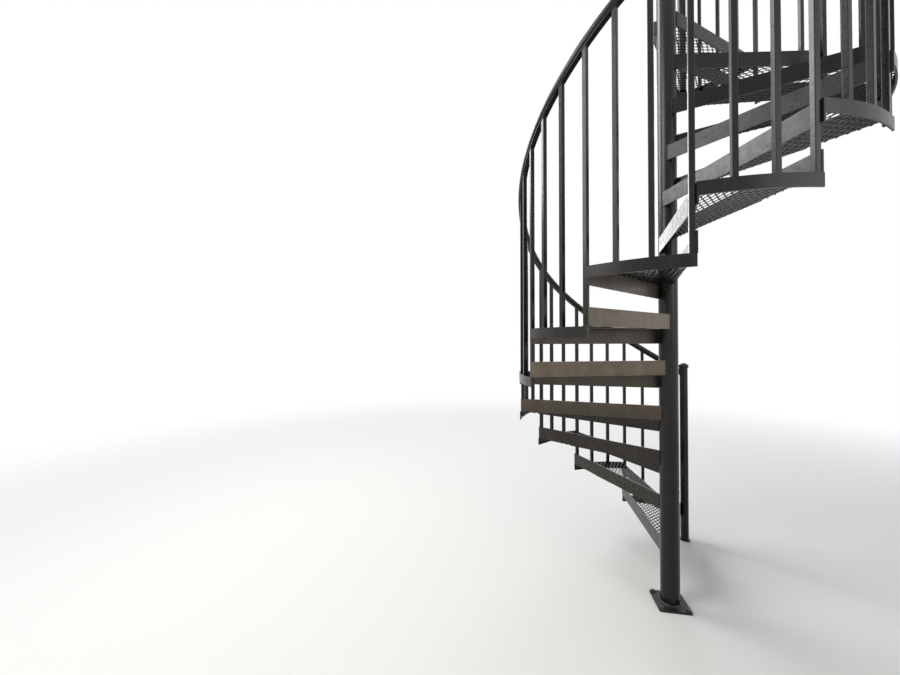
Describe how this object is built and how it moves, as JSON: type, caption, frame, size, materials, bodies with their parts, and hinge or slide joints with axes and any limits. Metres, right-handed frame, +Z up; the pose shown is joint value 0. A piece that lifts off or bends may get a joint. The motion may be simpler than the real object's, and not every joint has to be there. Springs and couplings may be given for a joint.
{
  "type": "spiral staircase",
  "caption": "Black steel spiral staircase with expanded metal wedge treads, square balusters, a helical handrail and a small top landing.",
  "frame": {"origin": "on the column's axis at the underside of its base plate", "axes": "+Z up along the column; +X from the column along the edge of the landing that meets the deck; +Y towards the deck; the stair climbs anticlockwise seen from above"},
  "size_m": [1.5413, 1.5298, 4.105],
  "materials": {
    "black_paint": "semi-gloss black paint, weathered",
    "mesh_paint": "satin black paint on expanded metal"
  },
  "bodies": {
    "root": {"base_plate": "black_paint", "column": "black_paint", "column_cap": "black_paint", "newel_post": "black_paint", "newel_cap": "black_paint", "tread_01": "black_paint", "tread_02": "black_paint", "tread_03": "black_paint", "tread_04": "black_paint", "tread_05": "black_paint", "tread_06": "black_paint", "tread_07": "black_paint", "tread_08": "black_paint", "tread_09": "black_paint", "tread_10": "black_paint", "tread_11": "black_paint", "tread_12": "black_paint", "mesh_01": "mesh_paint", "mesh_02": "mesh_paint", "mesh_03": "mesh_paint", "mesh_04": "mesh_paint", "mesh_05": "mesh_paint", "mesh_06": "mesh_paint", "mesh_07": "mesh_paint", "mesh_08": "mesh_paint", "mesh_09": "mesh_paint", "mesh_10": "mesh_paint", "mesh_11": "mesh_paint", "mesh_12": "mesh_paint", "balusters_1": "black_paint", "balusters_2": "black_paint", "balusters_3": "black_paint", "balusters_4": "black_paint", "handrail_lower": "black_paint", "handrail_middle": "black_paint", "handrail_upper": "black_paint", "landing_frame": "black_paint", "landing_mesh": "mesh_paint", "landing_balusters": "black_paint", "landing_rail": "black_paint", "top_newel": "black_paint", "top_newel_cap": "black_paint"}
  },
  "joints": []
}
